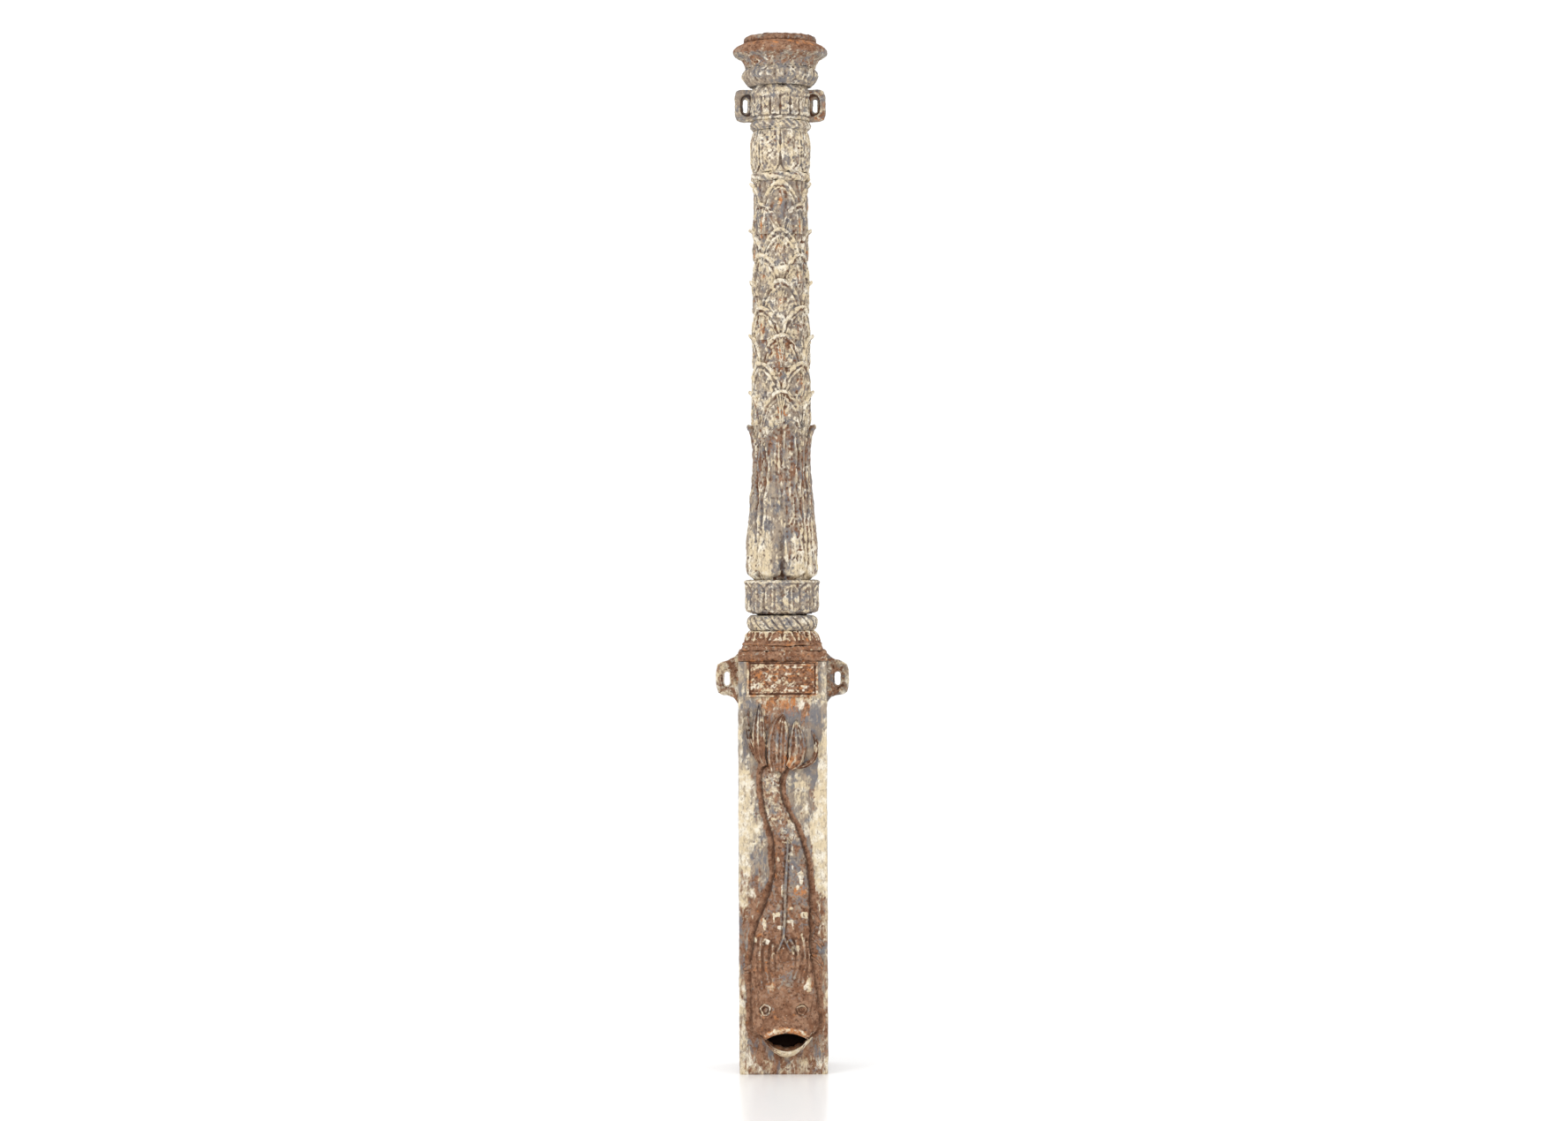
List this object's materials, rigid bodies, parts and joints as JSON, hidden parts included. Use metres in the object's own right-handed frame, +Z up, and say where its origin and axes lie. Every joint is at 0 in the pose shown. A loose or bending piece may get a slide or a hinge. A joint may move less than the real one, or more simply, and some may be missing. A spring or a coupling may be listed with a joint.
{
  "type": "ornamental downpipe shoe",
  "caption": "Ornamental cast-iron rainwater pipe: leafy palm-trunk pipe with a socket and slotted ears on a square boot, whose fish mouth lets the water out.",
  "frame": {"origin": "on the ground at the middle of the boot's bottom, on the axis of the water pipe", "axes": "+Z up along the pipe, -Y to the front where the fish's mouth is, +Y towards the wall"},
  "size_m": [0.26, 0.223, 2],
  "materials": {
    "flaked_paint": "flaked cream paint over rusted iron",
    "grey_paint": "worn blue-grey paint over rusted iron",
    "rusted_iron": "rusted",
    "bare_iron": "dark and rough"
  },
  "bodies": {
    "root": {"socket_ring": "rusted_iron", "socket_flange": "rusted_iron", "gadroon_ring": "flaked_paint", "eared_collar": "flaked_paint", "upper_left_ear": "rusted_iron", "upper_right_ear": "rusted_iron", "bead_ring": "flaked_paint", "petalled_drum": "flaked_paint", "leaf_ring": "flaked_paint", "water_pipe": "bare_iron", "long_leaves": "grey_paint", "petal_collar": "flaked_paint", "rope_ring": "flaked_paint", "base_moulding": "rusted_iron", "square_ledge": "rusted_iron", "boot_cap": "rusted_iron", "boot_shell": "grey_paint", "outlet_sill": "bare_iron", "nameplate": "rusted_iron", "fish_tail": "grey_paint", "fish_body": "grey_paint", "dorsal_ridge": "rusted_iron", "fish_head": "rusted_iron", "lower_lip": "rusted_iron", "left_eye": "rusted_iron", "right_eye": "rusted_iron", "left_fin": "rusted_iron", "right_fin": "rusted_iron", "lower_left_ear": "rusted_iron", "lower_right_ear": "rusted_iron", "palm_tier_1": "flaked_paint", "palm_tier_2": "flaked_paint", "palm_tier_3": "flaked_paint", "palm_tier_4": "flaked_paint", "palm_tier_5": "flaked_paint", "palm_tier_6": "flaked_paint", "palm_tier_7": "flaked_paint", "palm_tier_8": "flaked_paint", "palm_tier_9": "flaked_paint"}
  },
  "joints": []
}
